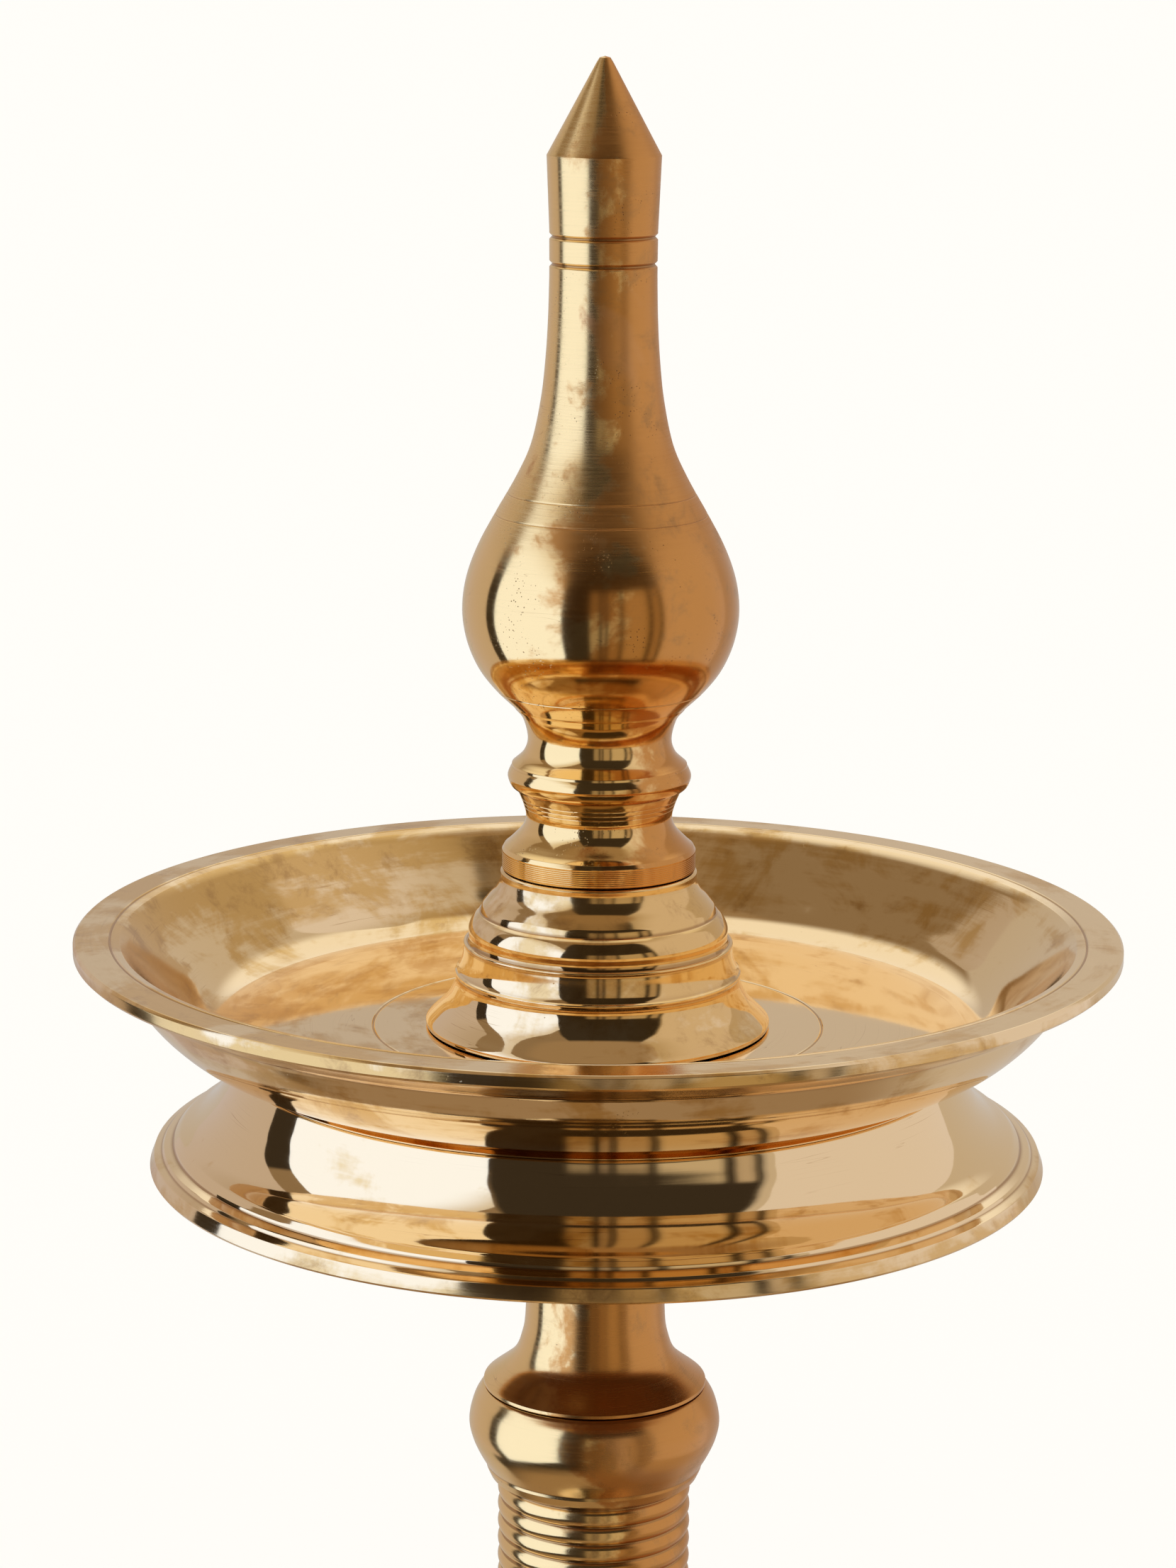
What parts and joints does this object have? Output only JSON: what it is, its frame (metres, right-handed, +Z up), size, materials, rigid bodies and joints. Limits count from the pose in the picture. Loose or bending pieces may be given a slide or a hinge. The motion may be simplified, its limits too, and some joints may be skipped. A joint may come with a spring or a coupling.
{
  "type": "brass standing oil lamp",
  "caption": "Tall turned brass oil lamp: wide oil bowl over a flared skirt on a ribbed column and bell base, with a bulbous pointed finial; its castings screw together.",
  "frame": {"origin": "centre of the base's flat underside, on the surface that the lamp stands on", "axes": "+Z up along the axis of the lamp, from the base to the tip of the finial; it is round, so X and Y are any two level directions"},
  "size_m": [0.28, 0.28, 0.762],
  "materials": {
    "satin_brass": "satin, lathe-brushed, with light brown tarnish",
    "polished_brass": "mirror polished, with faint turning lines",
    "column_brass": "soft satin, warmer and slightly tarnished",
    "thread_brass": "machined thread",
    "fastener_steel": "zinc plated",
    "washer_fibre": "dull vulcanised fibre"
  },
  "bodies": {
    "base": {"base": "polished_brass", "base_washer": "fastener_steel", "base_nut": "fastener_steel", "base_stud": "thread_brass"},
    "lower_column": {"lower_column": "column_brass", "lower_column_stud": "thread_brass"},
    "knop": {"knop": "column_brass", "knop_stud": "thread_brass"},
    "upper_column": {"upper_column": "column_brass", "upper_column_stud": "thread_brass"},
    "neck": {"neck": "column_brass", "neck_stud": "thread_brass"},
    "skirt": {"skirt": "polished_brass"},
    "oil_bowl": {"oil_bowl": "polished_brass", "sealing_washer": "washer_fibre"},
    "stepped_boss": {"stepped_boss": "polished_brass", "boss_stud": "thread_brass"},
    "finial": {"finial": "satin_brass"}
  },
  "joints": [
    {"name": "lower_column_lift", "type": "slide", "parent": "base", "child": "lower_column", "axis": [0, 0, 1], "range_m": [0, 0.035]},
    {"name": "knop_lift", "type": "slide", "parent": "lower_column", "child": "knop", "axis": [0, 0, 1], "range_m": [0, 0.03]},
    {"name": "upper_column_lift", "type": "slide", "parent": "knop", "child": "upper_column", "axis": [0, 0, 1], "range_m": [0, 0.03]},
    {"name": "neck_lift", "type": "slide", "parent": "upper_column", "child": "neck", "axis": [0, 0, 1], "range_m": [0, 0.03]},
    {"name": "skirt_lift", "type": "slide", "parent": "neck", "child": "skirt", "axis": [0, 0, 1], "range_m": [0, 0.04]},
    {"name": "oil_bowl_lift", "type": "slide", "parent": "skirt", "child": "oil_bowl", "axis": [0, 0, 1], "range_m": [0, 0.035]},
    {"name": "stepped_boss_lift", "type": "slide", "parent": "oil_bowl", "child": "stepped_boss", "axis": [0, 0, 1], "range_m": [0, 0.025]},
    {"name": "finial_lift", "type": "slide", "parent": "stepped_boss", "child": "finial", "axis": [0, 0, 1], "range_m": [0, 0.03]}
  ]
}
